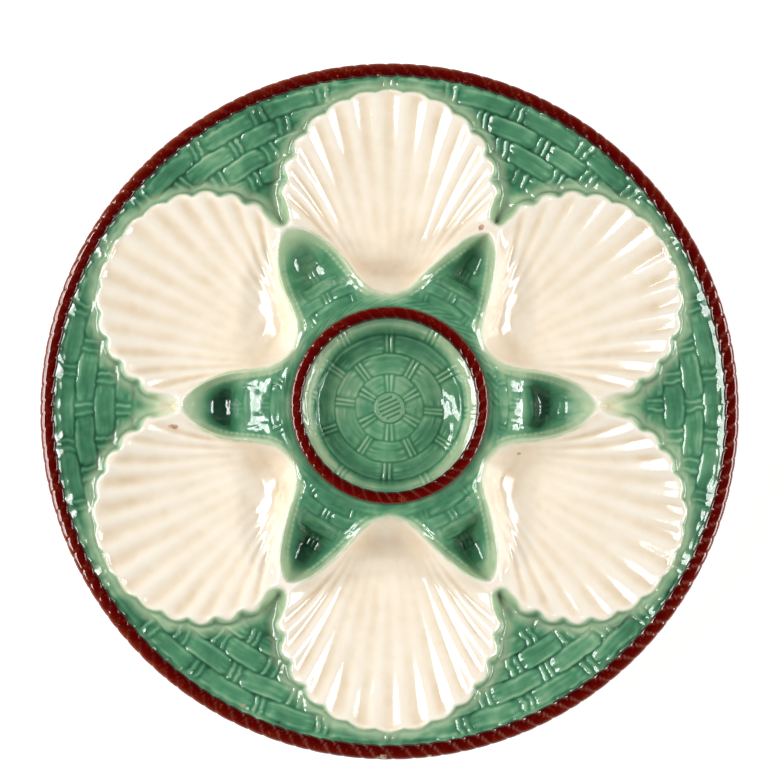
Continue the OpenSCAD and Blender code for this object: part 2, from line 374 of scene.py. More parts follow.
def fillet(r, th):
    """Glaze fills the corner under the rope, in runs of uneven width that are widest beside the stakes."""
    st = np.array(BORDER[0][2], float) % 360
    dst = np.abs((th[..., None] - st + 180) % 360 - 180).min(-1) if th.size else th
    x = th * STRANDS / 360
    even = sstep(0.2, 0.9, np.cos(np.radians(th)))
    run = 1.10 + 0.40 * even + 0.35 * bell(dst - 1.6, 1.7) + (1.05 - 0.45 * even) * np.abs(np.cos(PI * (x + 0.1))) ** 0.9
    run = np.maximum(run + 0.34 * vnoise(th * 0.33, r * 0, 19), 0.5)
    q = np.clip((r - 117.35 + run) / run, 0, 1.3)
    return (0.45 - 0.04 * even) * q ** 1.12 * run + 0.04 * q * vnoise(x * 1.7, r * 1.2, 23)


def pocket_relief(r, th):
    """The leaf-shaped hollows: th is measured from the hollow's own axis."""
    h = 0.0
    rw = r + 0.25 * fnoise(th * 0.25, r * 0.1, 21)
    rows = [(38.6, 42.2, [-12.5, 12.5]), (42.2, 46.6, [0, 25, -25]), (46.6, 52.0, [-9.8, 9.8]),
            (52.0, 57.6, [0, 18, -18]), (57.6, 63.2, [-5.8, 5.8]), (63.2, 68.0, [0, 20, -20])]
    for k, (r0, r1, st) in enumerate(rows):
        f = [0.6, 0.8, 0.8, 0.5, 0.35, 0.0][k]
        h = h + rows_relief(rw, (th + 360) % 360, r0, r1, st, 1.7, 0.85, 0.70, 0.66 * f, 0.55 * f, corner=1.6, seed=10 + k)
    return h


DIP = [
    (5.6, 12.3, [30, 90, 150, 210, 270, 330], 1.15, 0.58, 0.56, 0.42, 0.55, 0.12, 1.2),
    (12.3, 19.8, [60, 127, 173, 237, 297, 355], 1.5, 0.70, 0.64, 0.52, 0.62, 0.03, 1.5),
    (19.8, 26.4, [30, 90, 145, 200, 268, 327], 1.6, 0.76, 0.68, 0.58, 0.68, 0.03, 1.6),
    (26.4, 31.8, [58, 124, 171, 234, 296, 355], 1.7, 0.85, 0.72, 0.50, 0.60, 0.0, 1.0),
]


def dip_relief(r, th):
    h = 0.0
    rw = r + 0.18 * fnoise(th * 0.12, r * 0.1, 31)
    for k, (r0, r1, st, gap, off, w, ph, sh, wedge, cor) in enumerate(DIP):
        h = h + rows_relief(rw, th, r0, r1, st, gap, off, w, ph, sh, corner=cor, seed=20 + k, fringe=0.18 if k else 0.06, wedge=wedge, soft=0.55)
    return h


def band_relief(r, th):
    """The twisted green band outside the dip well's rope."""
    x = th * r * PI / 180
    ph = x / 3.4 + (r - 36.8) * 0.34 + 0.35 * vnoise(x * 0.25, r * 0.4, 51)
    st = np.abs(np.sin(PI * ph)) ** 0.7
    env = sstep(34.9, 35.8, r) * sstep(39.6, 37.9, r)
    return env * (0.17 * st + 0.08 + 0.05 * vnoise(x * 0.9 + r, r * 1.6, 52))


# ------------------------------------------------------------------ the whole upper surface as one height map
G = 0.2
N = 1261
ax = (np.arange(N) - N // 2) * G
X, Y = np.meshgrid(ax, ax, indexing="ij")


crest_v = curve([(39.3, 0.0), (39.8, 3.2), (40.6, 5.6), (43.3, 9.5), (46.6, 12.4), (50.4, 15.9), (54.5, 20.0), (58.2, 24.4), (60.6, 28.0),
                 (62.6, 31.6), (65, 34.6), (68, 36.4), (72, 36.9), (75, 36.8), (80, 36.4), (86, 35.0), (92, 32.6), (98, 29.0), (103, 24.6),
                 (107, 19.6), (110, 13.8), (111.6, 8.6), (112.4, 0.0)], 0.9)


POCKET = [1.4, -0.9, 1.7, 1.9, -0.2, -0.9]     # how much wider each leaf-shaped hollow is, from the one at 0 degrees on


def only(mask, f, *args):
    """f of the points in mask, and 0 elsewhere."""
    out = np.zeros(mask.shape)
    out[mask] = f(*[a[mask] for a in args])
    return out


def surface(X, Y):
    """Height, and what the glazes need to know, of every point of the upper surface."""
    r = np.hypot(X, Y)
    th = np.degrees(np.arctan2(Y, X)) % 360
    al = th % 60 - 30
    u, v = r * np.cos(np.radians(al)), r * np.sin(np.radians(al))
    d_lip, d_in = local(M_lip, u, v), local(M_in, u, v)
    arc = local(M_inarc, u, v)
    is_in = local(M_inside.astype(float), u, v) > 0.5
    w, s = local(M_w, u, v), local(M_s, u, v)
    which = np.round(th / 60).astype(int) % 6
    add = np.array(POCKET)[which] * sstep(44, 62, r) * sstep(80, 74, r)
    sd = np.where(is_in, -d_in, d_in) + add
    use = add != 0
    is_in = np.where(use, sd < 0, is_in)
    d_in = np.where(use, np.abs(sd), d_in)
    bz = border_z(r)
    L = lip_z(r)
    near_edge = np.minimum(d_lip, d_in) < 1.0
    m_sh = is_in | near_edge
    m_bo = ~is_in & (r > 74.5) & (r < 120)
    m_ho = ~is_in & (r >= 35.9) & (r <= 74.5)
    m_di = r < 36.7
    # -- a shell's bowl
    hw = np.maximum(crest_v(u), 0.05)
    x = np.clip(np.abs(v) / hw, 0, 1.0)
    fl = floor_z(u)
    well = fl + (L - fl) * np.where(fl < L, x ** 2.4, 1.0)
    # ribs between the flutes, strongest at the lip and gone in the deep of the bowl
    j = (2 * w - 1) * 28
    ph = 0.5 - 0.5 * np.cos(j * PI / 2)
    env = sstep(0.88, 0.28, s) * sstep(1.06, 0.97, w) * (0.42 + 0.58 * sstep(0.42, 0.10, s) + 0.34 * sstep(0.70, 0.90, w) * sstep(0.06, 0.40, s))
    rib = (ph ** 1.1 - 0.42) * 1.05 * env
    well = well + rib * sstep(-0.1, 0.6, np.minimum(d_lip, d_in))
    # -- outer wall of the lip, and the draft where shells meet
    k = WALL_SLOPE * (1 + 0.12 * only(m_sh, lambda t_, r_: vnoise(t_ * 0.25, r_ * 0.12, 71), th, r))
    wall = bz + 0.55 + k * d_lip + 1.0 * (1 - ph) * sstep(0.1, 1.2, d_lip)
    shell = smin(well, wall, 2.0)
    # a hand-trimmed, slightly rolled edge towards the hollows
    shell = smin(shell, L - 0.55 + 0.9 * d_in, 0.7)
    # -- border
    rel_b = only(m_bo, border_relief, r, th) * sstep(0.0, 1.2, d_lip)
    calm = 1 - 0.50 * sstep(0.80, 0.96, np.abs(np.cos(np.radians(th))))
    bord = bz + rel_b * calm + only(m_bo, fillet, r, th) * sstep(0.0, 1.2, d_lip)
    bord = bord + 0.78 * np.clip(1 - d_lip / 2.0, 0, 1) ** 2
    # -- hollows between the shells
    pth = ((th + 30) % 60) - 30
    half = np.interp(r, [36, 40, 41.5, 43, 50, 58, 62, 66, 70, 72.5], [2.6, 3.0, 8.5, 12.5, 11.0, 8.9, 7.1, 5.1, 2.6, 0.9])
    half = np.maximum(0.86 * half + 0.9 * add, 0.8)
    t = np.clip(d_in / half, 0, 1)
    gz = inner_z(r)
    gz = gz + (np.where(which == 3, shoulder_l(r), shoulder_r(r)) - gz) * sstep(27, 16, np.abs(pth)) * (which % 3 == 0)
    top = L - 0.55
    fall = (1 - t) ** 1.9
    pk = only(m_ho, pocket_relief, r, pth) * sstep(3.2, 6.2, d_in) * sstep(68, 60, r)
    cord = bell(d_in - 2.1, 0.8) * (0.32 + 0.12 * np.sin(2 * PI * (arc / 2.0 + d_in * 0.25)))
    cord = cord * sstep(68, 62, r) * sstep(39.0, 41.0, r)
    band = only((r > 34.3) & (r < 39.7), band_relief, r, th)
    lumps = 0.26 * vnoise(X * 0.36 + 4, Y * 0.36, 77) * bell(r - 46.5, 6.0)
    # in the two level hollows the glaze has smoothed the weave over on the slope beside the well's rope
    pv = r * np.sin(np.radians(pth))
    smooth = sstep(37.5, 40.5, r) * sstep(55.0, 50.5, r) * (which % 3 == 0)
    lean = pv - np.where(which == 3, -1.2, 0.0)
    crown = np.where(which == 3, 0.034, 0.044) * smin(lean * lean, 27.0, 8.0)
    lumps = lumps * (1 - 0.8 * smooth) + 0.035 * smooth * vnoise(X * 0.55, Y * 0.55 + 3, 78) - crown * sstep(37.5, 46, r) * sstep(56, 50, r) * (which % 3 == 0) * sstep(0.5, 3.0, d_in)
    hollow = gz + (top - gz) * fall + 0.95 * pk * (1 - 0.4 * bell(r - 46.8, 4.0)) * (1 - 0.85 * smooth * sstep(7.0, 5.0, np.abs(pv))) + lumps + cord + band * sstep(1.0, 2.2, d_in)
    # -- dip well
    rel_d = only(m_di, dip_relief, r, th)
    # two shallow dents, steeper on their right
    dx1, dx2 = X - 21.7, X - 18.0
    swell = -0.45 * bell(np.hypot(np.where(dx1 < 0, 0.5 * dx1, dx1), Y + 6.8), 4.0) - 0.45 * bell(np.hypot(np.where(dx2 < 0, 0.5 * dx2, dx2), Y - 2.6), 3.0)
    quiet = 1 - 0.85 * sstep(20.8, 25.6, r) * sstep(27.2, 26.3, r) * sstep(0.50, 0.85, -np.cos(np.radians(th)))
    uneven = 0.24 * vnoise(th * r * PI / 180 * 0.33, r * 0.55, 35) * bell(r - 25.9, 2.4) * sstep(-0.1, 0.5, -np.cos(np.radians(th)))
    ths = (th + 180) % 360 - 180
    dish = dish_z(np.hypot(X, Y + 9) - 0.3 + 0.7 * vnoise(ths * 0.085 + 3.4, r * 0, 37)) * sstep(-66, -44, ths) * sstep(24, 6, ths) * sstep(29.6, 26.0, r)
    dish = dish + 0.13 * vnoise(X * 0.42, Y * 0.42, 38) * bell(r - 23.0, 3.5) * sstep(0.6, 0.9, np.cos(np.radians(th)))
    ragged = 0.17 * vnoise(th * r * PI / 180 * 0.55, r * 0.9, 36) * bell(r - 29.2, 2.3) * sstep(0.3, 0.8, np.abs(np.cos(np.radians(th))))
    dip = dip_z(r) + 0.50 * rel_d * quiet + uneven + ragged + dish + band + swell * sstep(26.3, 25.3, r)
    out = np.where(r < 36.3, dip, hollow)
    out = np.where(r > 74.5, bord, out)
    H = np.where(is_in, shell, out)
    region = np.where(is_in, 1, np.where(r > 74.5, 0, np.where(r < 36.3, 3, 2)))
    rel = np.where(region == 0, rel_b, np.where(region == 3, rel_d + 1.3 * band, np.where(region == 2, 0.6 * pk + 1.3 * band + 0.8 * cord, 0)))
    return H, dict(rel=rel, r=r, th=th, u=u, v=v, d_lip=d_lip, d_in=d_in, is_in=is_in, region=region, bz=bz, L=L, s=s, w=w, ribph=ph, rib=env)


def blur(A, sigma, pad=40):
    """Gaussian blur of a map, sigma in millimetres."""
    B = np.pad(A, pad, mode="edge")
    fx = np.fft.fftfreq(B.shape[0], G)[:, None]
    fy = np.fft.rfftfreq(B.shape[1], G)[None, :]
    K = np.exp(-2 * (PI * sigma) ** 2 * (fx * fx + fy * fy))
    out = np.fft.irfft2(np.fft.rfft2(B) * K, s=B.shape)
    return out[pad:-pad, pad:-pad]


H0, info = surface(X, Y)
R = info["r"]
H0 = np.where(R > 119.5, border_z(np.full_like(R, 119.5)), H0)
H = blur(H0, 0.24)
GX, GY = np.gradient(H, G)


def sample(M, x, y):
    i = np.clip(x / G + N // 2, 0, N - 1.001)
    j = np.clip(y / G + N // 2, 0, N - 1.001)
    a, b = i.astype(int), j.astype(int)
    fx, fy = i - a, j - b
    return (M[a, b] * (1 - fx) * (1 - fy) + M[a + 1, b] * fx * (1 - fy)
            + M[a, b + 1] * (1 - fx) * fy + M[a + 1, b + 1] * fx * fy)


# ------------------------------------------------------------------ glaze maps
fine = blur(H, 0.7) - H           # > 0 in narrow grooves, < 0 on narrow ridges
wide = blur(H, 2.2) - H           # > 0 in broad hollows
slope = np.hypot(GX, GY)
rel_ = blur(info["rel"], 0.15)
ink = blur(info["rel"], 0.75) - rel_           # > 0 in the grooves of the basketwork
line_ = blur(info["rel"], 0.33) - rel_         # the narrow joints only
nz1 = fnoise(X * 0.11, Y * 0.11, 101)
nz2 = fnoise(X * 0.35 + 7, Y * 0.35 - 3, 111)
nz3 = fnoise(X * 0.9, Y * 0.9, 121, 2)

# how much green lies on each place, 0 cream .. 1 green
crest = np.clip((info["L"] - info["bz"]) / WALL_SLOPE, 0.8, 5.0)
gl = 1 - sstep(0.40, 1.0, info["d_lip"] / crest + 0.18 * nz2 + 0.14 * nz1 - 0.34 * (info["ribph"] - 0.5))
notch = sstep(90, 78, R)                          # cream runs down into the notch between two lips
pale_notch = notch * (0.30 + 0.50 * sstep(17, 10, np.abs(Y)))
gl = gl * (1 - pale_notch)
gi = 0.75 * (1 - sstep(0.0, 0.9, info["d_in"] + 0.35 * nz2))
on_shell = np.maximum(0.85 * gl, gi * sstep(71, 66, R))
# green beyond the outline: full in the ground, weaker on the wall of a hollow
lipdist = np.where(info["region"] == 0, info["d_lip"], 99)
indist = np.where(info["region"] >= 2, info["d_in"], 99)
g_b = 0.60 + 0.40 * sstep(0.0, 4.2, lipdist + 1.1 * nz1 + 0.6 * nz2)
g_b = g_b * (1 - pale_notch)
g_p = sstep(-0.2, 1.6, indist + 0.35 * nz2)
g_p = (0.15 + 0.85 * g_p) * (1 - 0.50 * sstep(65, 72, R + 1.5 * nz2))
green = np.where(info["is_in"], on_shell, np.where(info["region"] == 0, g_b, g_p))
green = blur(green, 0.35)

# how thick the glaze lies: thin on edges and steep places, pooled in hollows; several terms below also paint shade and
# highlights into this map
crease = 1 - 0.35 * sstep(2.2, 0.6, info["d_lip"])
pool_and_shade = 0.575 + np.where(fine > 0, 0.85 * crease, 1.9) * np.clip(fine, -0.3, 0.35) * np.where(info["is_in"], 1, np.where(info["region"] == 3, 0.15, 0.4))
pool_and_shade = pool_and_shade + np.array([0.16, 0.16, 0.05, 0.04])[info["region"]] * np.clip(wide, -1.2, 1.2) * crease
broken = 0.55 + 0.45 * np.clip(fnoise(X * 0.22 + 5, Y * 0.22, 151) * 2, -1, 1)
pool_and_shade = pool_and_shade + np.where(ink > 0, 0.95, 1.0) * np.clip(ink, -0.3, 0.35) + np.where(line_ > 0, 2.0 * broken, 1.0) * np.clip(line_, -0.15, 0.15)
# Painted shade and light: basketwork flanks facing lower right are painted darker, and those facing upper left lighter,
# as if lit from the upper left.
rgx, rgy = np.gradient(rel_, G)
pool_and_shade = pool_and_shade + 0.24 * np.clip(0.8 * rgy - 0.6 * rgx, -0.9, 1.1) * (0.6 + 0.4 * broken)
pool_and_shade = pool_and_shade - np.array([0.0, 0.0, 0.03, 0.13])[info["region"]]
pool_and_shade = pool_and_shade - 0.10 * np.clip(slope - 0.8, 0, 2.5) * (R > 36)
# Darker, warmer cream between the ribs and at the deep hinge end of each bowl: partly glaze pooling, partly painted
# shade.
pool_and_shade = pool_and_shade + np.where(info["is_in"], 0.30 * (0.45 - info["ribph"]) * info["rib"] + 0.22 * bell(info["u"] - 49, 9), 0)
axis_no = np.round(info["th"] / 60).astype(int) % 6
# Painted shade on top of glaze pooling: darker toward the bottom of the hollows at 0, 180, 240 and 300 degrees,
# slightly lighter in those at 60 and 120.
deep = np.where(axis_no == 0, bell(R - 53.5, 7.0), np.where(axis_no == 3, bell(R - 60.5, 8.0), sstep(16.5, 11.5, H) * ((R > 44) & (R < 66))))
pool_and_shade = pool_and_shade + np.where(info["region"] == 2, np.array([0.60, -0.14, -0.16, 0.50, 0.24, 0.26])[axis_no] * deep * np.where(axis_no % 3 == 0, sstep(1.5, 5.5, info["d_in"]), sstep(3.0, 7.5, info["d_in"])) - 0.34 * sstep(6.5, 0.5, info["d_in"] + 0.8 * nz2), 0)
nz0 = fnoise(X * 0.045 + 3, Y * 0.045 + 8, 131, 2)
pool_and_shade = pool_and_shade + np.where(info["is_in"], 0.06, 0.15) * nz0 + 0.18 * nz1 + 0.08 * nz2
pool_and_shade = pool_and_shade - 0.30 * sstep(61, 69, R + 2.0 * nz2) * (info["region"] == 2)
pale_rim = bell(R - 117.0, 1.4) * (info["region"] == 0)
# The dip well's wall is paler glaze all round; the extra paleness at its left and right, strongest on the left, is a
# painted highlight.
pool_and_shade = pool_and_shade - 0.10 * pale_rim - (0.12 + 0.38 * (X / np.maximum(R, 1)) ** 2 + 0.10 * sstep(0.1, 0.9, -X / np.maximum(R, 1))) * sstep(25.9, 28.8, R + 0.6 * nz3) * (R < 33)
pool_and_shade = pool_and_shade - 0.20 * sstep(92, 86, R) * (info["region"] == 0)
brushed = vnoise(info["th"] * 0.16, R * 0.75 + 0.05 * info["th"], 161)
pool_and_shade = pool_and_shade - 0.20 * sstep(-0.25, 0.7, brushed) * bell(R - 41.0, 5.5) * (0.35 + 0.65 * sstep(0.2, 0.8, np.abs(X) / np.maximum(R, 1))) * (info["region"] == 2)
pool_and_shade = blur(np.clip(pool_and_shade, 0, 1.6), 0.2)

# small chips and scuffs where the bare body shows: x, y, half length, half width, turn
CHIPS = [(32.7, 63.7, 1.4, 0.9, 60), (-76.5, -7.4, 1.7, 0.75, -5), (46.0, -16.8, 0.7, 0.45, 20), (-50.4, -104.0, 0.8, 0.35, 30),
         (-2.5, -121.3, 1.6, 0.8, 0), (13.5, -121.0, 0.9, 0.5, 5), (-0.5, -119.6, 0.5, 0.4, 0)]


def chips(x, y):
    out = np.zeros(np.shape(x))
    for cx, cy, la, lb, t_ in CHIPS:
        near_ = (np.abs(x - cx) < 4) & (np.abs(y - cy) < 4)
        dx, dy = x[near_] - cx, y[near_] - cy
        ca, sa = math.cos(math.radians(t_)), math.sin(math.radians(t_))
        d = np.hypot((dx * ca + dy * sa) / la, (-dx * sa + dy * ca) / lb)
        out[near_] = np.maximum(out[near_], sstep(1.15, 0.8, d + 0.35 * vnoise(dx * 1.9, dy * 1.9, 141)))
    return out


# ------------------------------------------------------------------ mesh making
def hexgrid(x0, x1, y0, y1, a):
    dy = a * 3**0.5 / 2
    rows = np.arange(y0, y1, dy)
    out = []
    for i, y in enumerate(rows):
        xs = np.arange(x0 + (a / 2 if i % 2 else 0), x1, a)
        out.append(np.stack([xs, np.full_like(xs, y)], 1))
    return np.concatenate(out)


def triangulate(loops, pts, keep):
    """Triangles over the closed loops (with their points first) and the free points. keep(x, y) says which to keep."""
    V = np.concatenate(loops + [pts])
    E, o = [], 0
    for L in loops:
        n = len(L)
        E += [(o + i, o + (i + 1) % n) for i in range(n)]
        o += n
    vs = [Vector((float(x), float(y))) for x, y in V]
    out = delaunay_2d_cdt(vs, E, [], 0, 1e-7, False)
    P = np.array([(p.x, p.y) for p in out[0]])
    if len(P) != len(V) or np.abs(P - V).max() > 1e-4:
        raise RuntimeError("the outline crosses itself")
    F = np.array(out[2])
    c = P[F].mean(1)
    F = F[keep(c[:, 0], c[:, 1])]
    a, b, d = V[F[:, 0]], V[F[:, 1]], V[F[:, 2]]
    cr = (b[:, 0] - a[:, 0]) * (d[:, 1] - a[:, 1]) - (b[:, 1] - a[:, 1]) * (d[:, 0] - a[:, 0])
    F[cr < 0] = F[cr < 0][:, ::-1]
    ok = np.abs(cr) > 1e-9
    return V, F[ok]


def make_mesh(name, V, F, normals=None, attrs=None, uv=None, mat=None):
    """V in millimetres. F is a list of arrays of faces, each with one number of corners."""
    me = bpy.data.meshes.new(name)
    V = np.asarray(V, np.float64) * MM
    sizes = np.concatenate([np.full(len(f), f.shape[1], np.int32) for f in F])
    loops = np.concatenate([f.ravel() for f in F]).astype(np.int32)
    me.vertices.add(len(V))
    me.vertices.foreach_set("co", V.astype(np.float32).ravel())
    me.loops.add(len(loops))
    me.loops.foreach_set("vertex_index", loops)
    me.polygons.add(len(sizes))
    me.polygons.foreach_set("loop_start", np.concatenate([[0], np.cumsum(sizes)[:-1]]).astype(np.int32))
    me.update(calc_edges=True)
    me.polygons.foreach_set("use_smooth", np.ones(len(sizes), bool))
    for key, val in (attrs or {}).items():
        a = me.attributes.new(key, "FLOAT", "POINT")
        a.data.foreach_set("value", np.asarray(val, np.float32))
    if uv is not None:
        lay = me.uv_layers.new(name="OFBake")
        lay.data.foreach_set("uv", np.asarray(uv, np.float32).ravel())
    if normals is not None:
        n = np.asarray(normals, float)
        n /= np.linalg.norm(n, axis=1)[:, None]
        me.normals_split_custom_set_from_vertices(n.tolist())
    me.validate()
    o = bpy.data.objects.new(name, me)
    bpy.context.scene.collection.objects.link(o)
    if mat:
        me.materials.append(mat)
    return o


def ring_walls(lo_ids, hi_ids):
    """Quads between two loops of equal length, the first one below: outward for a loop that runs counter-clockwise."""
    a, b = np.asarray(lo_ids), np.asarray(hi_ids)
    a2, b2 = np.roll(a, -1), np.roll(b, -1)
    return np.stack([a, a2, b2, b], 1)


def top_attrs(x, y):
    return dict(green=sample(green, x, y), pool_and_shade=sample(pool_and_shade, x, y), chip=chips(x, y), under=np.zeros(len(x)))


def under_z(x, y):
    r = np.hypot(x, y)
    th = np.degrees(np.arctan2(y, x)) % 360
    al = th % 60 - 30
    u, v = r * np.cos(np.radians(al)), r * np.sin(np.radians(al))
    base = np.where(r < 37.5, dip_back(r), back_z(r))
    # a lobe under each shell follows the bowl above it
    hw = np.interp(u, [39, 46, 54, 60, 66, 75, 86, 98, 107, 113], [0.1, 12, 20, 28, 35, 37, 35, 29, 19.6, 0.1])
    x_ = np.clip(np.abs(v) / np.maximum(hw, 0.1), 0, 1.3)
    bowl = floor_z(np.clip(u, 38, 114)) - 5.0
    bowl = bowl + 7.0 * x_**2.6
    inside_ = (u > 40) & (u < 113)
    z = np.where(inside_, smin(base, np.maximum(bowl, 6.0), 1.0), base)
    return np.maximum(z, 6.0)


ru = np.hypot(X, Y)
B0 = under_z(X, Y)
B0 = np.where(ru < 37.5, dip_back(ru), B0)
B0 = np.where((ru > 46) & (ru < 60), 6.0, B0)
Bz = blur(B0, 1.3)
Bz = np.where(ru > 116, blur(np.where(ru > 116, back_z(ru), B0), 0.6), Bz)
BX, BY = np.gradient(Bz, G)



# ------------------------------------------------------------------ materials
def new_mat(name):
    m = bpy.data.materials.new(name)
    m.use_nodes = True
    nt = m.node_tree
    nt.nodes.clear()
    out = nt.nodes.new("ShaderNodeOutputMaterial")
    b = nt.nodes.new("ShaderNodeBsdfPrincipled")
    nt.links.new(b.outputs[0], out.inputs[0])
    return m, nt, b


class Nodes:
    """Short ways to add nodes to one tree."""

    def __init__(self, nt):
        self.nt = nt

    def add(self, kind, **props):
        n = self.nt.nodes.new(kind)
        for k, v in props.items():
            setattr(n, k, v)
        return n

    def link(self, a, b):
        self.nt.links.new(a, b)

    def attr(self, name):
        return self.add("ShaderNodeAttribute", attribute_name=name).outputs["Fac"]

    def noise(self, scale, detail=3, rough=0.5, coord=None, distort=0.0):
        n = self.add("ShaderNodeTexNoise")
        n.inputs["Scale"].default_value = scale
        n.inputs["Detail"].default_value = detail
        n.inputs["Roughness"].default_value = rough
        n.inputs["Distortion"].default_value = distort
        self.link(coord or self.coord(), n.inputs["Vector"])
        return n.outputs["Fac"]

    def coord(self):
        if not hasattr(self, "_c"):
            self._c = self.add("ShaderNodeTexCoord").outputs["Object"]
        return self._c

    def math(self, op, a, b=None, clamp=False):
        n = self.add("ShaderNodeMath", operation=op, use_clamp=clamp)
        for i, v in enumerate([a, b]):
            if v is None:
                continue
            if isinstance(v, (int, float)):
                n.inputs[i].default_value = v
            else:
                self.link(v, n.inputs[i])
        return n.outputs[0]

    def mapr(self, v, a, b, c=0.0, d=1.0, smooth=True):
        n = self.add("ShaderNodeMapRange", interpolation_type="SMOOTHSTEP" if smooth else "LINEAR")
        for k, x in zip(("From Min", "From Max", "To Min", "To Max"), (a, b, c, d)):
            n.inputs[k].default_value = x
        self.link(v, n.inputs["Value"])
        return n.outputs[0]

    def ramp(self, v, stops):
        n = self.add("ShaderNodeValToRGB")
        e = n.color_ramp.elements
        while len(e) > 1:
            e.remove(e[-1])
        for i, (p, c) in enumerate(stops):
            el = e[0] if i == 0 else e.new(p)
            el.position, el.color = p, (*c, 1)
        self.link(v, n.inputs[0])
        return n.outputs[0]

    def mix(self, f, a, b, kind="MIX"):
        n = self.add("ShaderNodeMix", data_type="RGBA", blend_type=kind)
        for sock, v in ((n.inputs[0], f), (n.inputs[6], a), (n.inputs[7], b)):
            if isinstance(v, (int, float)):
                sock.default_value = v
            elif isinstance(v, tuple):
                sock.default_value = (*v, 1)
            else:
                self.link(v, sock)
        return n.outputs[2]

    def bump(self, h, strength, dist, normal=None):
        n = self.add("ShaderNodeBump")
        n.inputs["Strength"].default_value = strength
        n.inputs["Distance"].default_value = dist
        self.link(h, n.inputs["Height"])
        if normal is not None:
            self.link(normal, n.inputs["Normal"])
        return n.outputs[0]


def srgb(r, g, b):
    f = lambda c: c / 255 / 12.92 if c / 255 <= 0.04045 else ((c / 255 + 0.055) / 1.055) ** 2.4
    return (f(r), f(g), f(b))


def glazed(name):
    """Cream and green lead glaze, run together where the attribute 'green' says, darker where it has pooled and where
    shade is painted, paler where it is thin and where a highlight is painted.
    """
    m, nt, b = new_mat(name)
    q = Nodes(nt)
    green_a, pool_shade_a, under_a = q.attr("green"), q.attr("pool_and_shade"), q.attr("under")
    n_big, n_mid, n_fine = q.noise(60, 3), q.noise(220, 3), q.noise(900, 2)
    # cream: ivory, warmer where it pools and where shade is painted, with a faint brushed cloudiness
    th = q.math("ADD", pool_shade_a, q.math("MULTIPLY", q.math("SUBTRACT", n_mid, 0.5), 0.18))
    cream = q.ramp(th, [(0.0, srgb(254, 246, 232)), (0.40, srgb(253, 243, 226)), (0.60, srgb(249, 236, 215)), (0.85, srgb(238, 219, 191)), (1.0, srgb(228, 205, 174))])
    cream = q.mix(q.mapr(n_big, 0.35, 0.7, 0.0, 0.35), cream, srgb(247, 232, 210))
    # green: pale where thin and where a highlight is painted, deep where pooled and where shade is painted
    tg = q.math("ADD", pool_shade_a, q.math("MULTIPLY", q.math("SUBTRACT", n_big, 0.5), 0.30))
    tg = q.math("ADD", tg, q.math("MULTIPLY", q.math("SUBTRACT", n_mid, 0.5), 0.16))
    grn = q.ramp(tg, [(0.0, srgb(176, 200, 160)), (0.20, srgb(140, 178, 140)), (0.38, srgb(104, 158, 120)), (0.52, srgb(80, 138, 102)), (0.76, srgb(58, 112, 82)), (1.0, srgb(34, 70, 50))])
    g = q.math("ADD", green_a, q.math("MULTIPLY", q.math("SUBTRACT", n_mid, 0.5), 0.12), clamp=True)
    bleed = q.mix(q.mapr(g, 0.0, 0.45, 0, 1, smooth=False), cream, srgb(196, 214, 176))
    col = q.mix(q.mapr(g, 0.30, 1.0, 0, 1, smooth=False), bleed, grn)
    # bare clay where the glaze has chipped
    clay = q.mix(q.mapr(n_fine, 0.3, 0.7), srgb(212, 172, 146), srgb(178, 128, 100))
    col = q.mix(q.attr("chip"), col, clay)
    # the underside: plain ivory glaze
    low = q.mix(q.mapr(n_big, 0.4, 0.65), srgb(238, 226, 202), srgb(226, 214, 184))
    col = q.mix(under_a, col, low)
    # small firing specks
    vor = q.add("ShaderNodeTexVoronoi", feature="F1")
    vor.inputs["Scale"].default_value = 130
    q.link(q.coord(), vor.inputs["Vector"])
    sep = q.add("ShaderNodeSeparateColor")
    q.link(vor.outputs["Color"], sep.inputs[0])
    rare = q.mapr(sep.outputs[0], 0.955, 0.96, 0, 1)
    dot = q.math("MULTIPLY", q.mapr(vor.outputs["Distance"], 0.05, 0.03, 0, 0.55), rare)
    col = q.mix(dot, col, srgb(120, 84, 60))
    q.link(col, b.inputs["Base Color"])
    b.inputs["Roughness"].default_value = 0.4
    b.inputs["Specular IOR Level"].default_value = 0.0
    b.inputs["Coat Weight"].default_value = 1.0
    b.inputs["Coat IOR"].default_value = 1.8
    b.inputs["Coat Roughness"].default_value = 0.14
    nrm = q.bump(q.noise(300, 2), 0.14, 0.0004)
    nrm = q.bump(n_fine, 0.12, 0.00015, nrm)
    q.link(nrm, b.inputs["Normal"])
    q.link(nrm, b.inputs["Coat Normal"])
    return m


